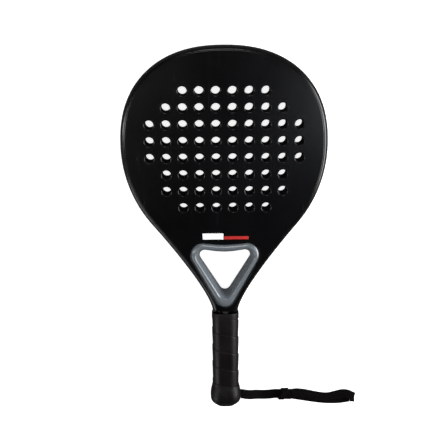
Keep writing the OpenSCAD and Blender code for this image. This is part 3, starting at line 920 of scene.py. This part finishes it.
def strap_line(layer, loop_path):
    """Centreline of a layer of the strap: out of the slot, through the knot and along its loop path.

    layer is 1 for the upper one and -1 for the lower one.
    """
    lead = np.array(LEAD_PATH, float)
    _, _, up = level_frames(lead)
    lead = lead + up * layer * LAYER_LIFT
    middle = [(74.5, -220.5, 3.6 + layer * 0.7)]
    return spline(np.vstack([lead, middle, loop_path]), 6)


def add_cord(name, layer, loop_path, material, with_pieces, *replaced):
    """One layer of the strap, swept as webbing along its route."""
    line = strap_line(layer, loop_path)
    piece = add_piece(name, band_mesh(name, line), "strap", "webbing_black", material, *replaced)


def knot_band(tilt, phase, radii, shift):
    """Line and frames of one closed turn round the knot, slanted along the strap."""
    a = np.linspace(0, 2 * math.pi, 72, endpoint=False)
    swell = 1 + 0.1 * np.cos(a - phase)
    ring = np.stack([shift + tilt * np.cos(a) * radii[0], radii[0] * np.cos(a) * swell,
                     radii[1] * np.sin(a) * swell], 1)
    ahead = unit(np.roll(ring, -1, 0) - np.roll(ring, 1, 0))
    out = unit(ring * (0, 1, 1))
    side = unit(np.cross(ahead, out))
    line = ring + KNOT
    line[:, 2] = np.maximum(line[:, 2], WEB_T / 2 + 0.1)
    return line, (ahead, side, np.cross(side, ahead))


def knot_mesh():
    """The look of an overhand knot pulled tight: crossing turns of webbing and a short tail."""
    bands = []
    for tilt, phase, radii, width, shift in KNOT_TURNS:
        line, frames = knot_band(tilt, phase, radii, shift)
        bands.append(band_mesh("turn", line, width, 0.9, frames, closed=True))
    tail = spline(KNOT + KNOT_TAIL, 5)
    bands.append(band_mesh("tail", tail, 6.4, 1.0, level_frames(tail, (1.0, 0.0, 0.0))))
    work = bmesh.new()
    for band in bands:
        work.from_mesh(band)
        bpy.data.meshes.remove(band)
    for vert in work.verts:
        # the webbing is pressed flat where it lies on the ground
        vert.co.z = max(vert.co.z, 0.05 * MM)
    knot = bpy.data.meshes.new("strap_knot_turns")
    bmesh.ops.recalc_face_normals(work, faces=work.faces)
    work.to_mesh(knot)
    work.free()
    return knot


# ---------------------------------------------------------------- light and floor

def floor_paper():
    """Plain pale paper that is lit from within, so that it stays even."""
    paint = Paint("floor_paper", 0.9, Specular_IOR_Level=0.0, Emission_Strength=0.9)
    paint.colour((0.7, 0.7, 0.7, 1.0))
    paint.put(paint.shader.inputs["Emission Color"], (1.0, 1.0, 1.0, 1.0))
    return paint.material


def make_floor():
    """A wide disc just under the racket. It neither lights the racket nor shows in its gloss."""
    count = 96
    ring = np.column_stack([30000 * circle(count), np.full(count, -0.3)])
    mesh = bpy.data.meshes.new("floor")
    mesh.from_pydata((ring * MM).tolist(), [], [tuple(range(count))])
    mesh.materials.append(floor_paper())
    floor = bpy.data.objects.new("floor", mesh)
    floor.visible_glossy = False
    floor.visible_diffuse = False
    SCENE.collection.objects.link(floor)


def softbox(name, location, target, width, height, power, colour=(1, 1, 1)):
    """A rectangular light that faces its target, with its size in metres and its power in watts."""
    data = bpy.data.lights.new(name, "AREA")
    data.shape = "RECTANGLE"
    data.size = width
    data.size_y = height
    data.energy = power
    data.color = colour
    light = bpy.data.objects.new(name, data)
    light.location = location
    light.rotation_euler = (Vector(target) - Vector(location)).to_track_quat("-Z", "Y").to_euler()
    SCENE.collection.objects.link(light)


def make_world():
    """A dark studio with a pale band at the horizon."""
    world = bpy.data.worlds.new("studio")
    SCENE.world = world
    world.use_nodes = True
    nodes, links = world.node_tree.nodes, world.node_tree.links
    place = nodes.new("ShaderNodeTexCoord")
    axes = nodes.new("ShaderNodeSeparateXYZ")
    links.new(place.outputs["Generated"], axes.inputs[0])
    height = nodes.new("ShaderNodeMapRange")
    height.inputs["From Min"].default_value = -1.0
    links.new(axes.outputs["Z"], height.inputs["Value"])
    shade = nodes.new("ShaderNodeValToRGB")
    # (half of the height above the horizon plus a half, brightness)
    stops = ((0.0, 0.10), (0.495, 0.14), (0.505, 0.5), (0.55, 0.02), (0.7, 0.008))
    while len(shade.color_ramp.elements) < len(stops):
        shade.color_ramp.elements.new(0.5)
    for element, (position, value) in zip(shade.color_ramp.elements, stops):
        element.position = position
        element.color = (value, value, value, 1)
    links.new(height.outputs[0], shade.inputs[0])
    links.new(shade.outputs[0], nodes["Background"].inputs["Color"])


def make_lights():
    """A broad panel from the right, a low one along the grip, and strips and a box for the edges."""
    middle = (0.0, 0.0, 0.02)
    softbox("right_panel", (1.25, 0.1, 0.6), middle, 1.3, 0.8, 32)
    softbox("grip_panel", (-1.15, -0.75, 0.55), (0.0, -0.15, 0.02), 0.7, 0.9, 7)
    softbox("left_strip", (-1.05, 0.1, 0.95), middle, 0.18, 1.8, 8)
    softbox("right_strip", (0.95, 0.1, 0.95), middle, 0.14, 1.8, 4, (0.85, 0.92, 1.0))
    softbox("top_box", (0.0, 0.75, 1.2), middle, 0.3, 0.3, 2.5)


# ---------------------------------------------------------------- assembly

def dress_cad_nodes(finishes):
    """Gives the CAD nodes that are kept as they are their materials."""
    for material, names in finishes:
        for name in names:
            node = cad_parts[name]
            node.data.materials.clear()
            node.data.materials.append(material)


def build():
    """Everything in the scene: the camera and the cords first, then the rest of the racket."""
    make_camera()
    web = webbing("webbing_black", "UV")
    knot = add_piece("strap_knot_turns", knot_mesh(), "strap", "webbing_black", web, "strap_knot")
    add_cord("strap_upper_layer", 1, UPPER_PATH, web, [knot], "strap_lead", "strap_loop_upper")
    add_cord("strap_lower_layer", -1, LOWER_PATH, web, [], "strap_loop_lower")

    face = carbon_face()
    insert = grey_insert()
    white = print_ink("print_white", (0.97, 0.97, 0.97), (0.92, 0.92, 0.92))
    red = print_ink("print_red", (0.5, 0.024, 0.02), (0.34, 0.014, 0.012))
    add_form("rim", rim_shape(), "rim_carbon", carbon_rim(), "head_tube", "left_arm_tube", "right_arm_tube")
    for name, outward in (("front_face", 1), ("rear_face", -1)):
        add_form(name + "_sheet", face_shape(outward), "face_carbon", face, name)
    for name, side in (("throat_insert_front", 1), ("throat_insert_rear", -1)):
        add_form(name + "_moulding", insert_shape(side), "insert_grey", insert, name, sharp=60)
    add_form("white_print", ink_shape(*WHITE_BAR), "print_white", white, "white_bar")
    add_form("red_print", ink_shape(*RED_BAR), "print_red", red, "red_bar")

    add_piece("grip_wrap", trimmed_grip(), "racket", "grip_skin", grip_skin(), "base_grip")
    add_form("finishing_tape_band", tape_shape(), "tape_black", finishing_band(), "finishing_tape")
    add_piece("butt_cap_moulding", cap_mesh(), "racket", "cap_rubber", soft_rubber(), "butt_cap")
    add_form("butt_badge_plate", badge_shape(), "badge_grey", badge_plastic(), "butt_badge", sharp=25)

    add_form("foam_core_block", foam_shape(), "core_foam", core_foam(), "foam_core")
    dress_cad_nodes(((raw_laminate(), ("bridge",)),
                     (handle_foam(), ("handle_core", "handle_shell_front", "handle_shell_rear")),
                     (hardwood(), ("tube_plugs",)),
                     (plated_steel(), ("cap_screws", "strap_pin", "strap_eyelet")),
                     (webbing("webbing_black_tab", "Object"), ("strap_tab",))))

    make_floor()
    make_world()
    make_lights()
    SCENE.view_settings.view_transform = "Standard"


build()
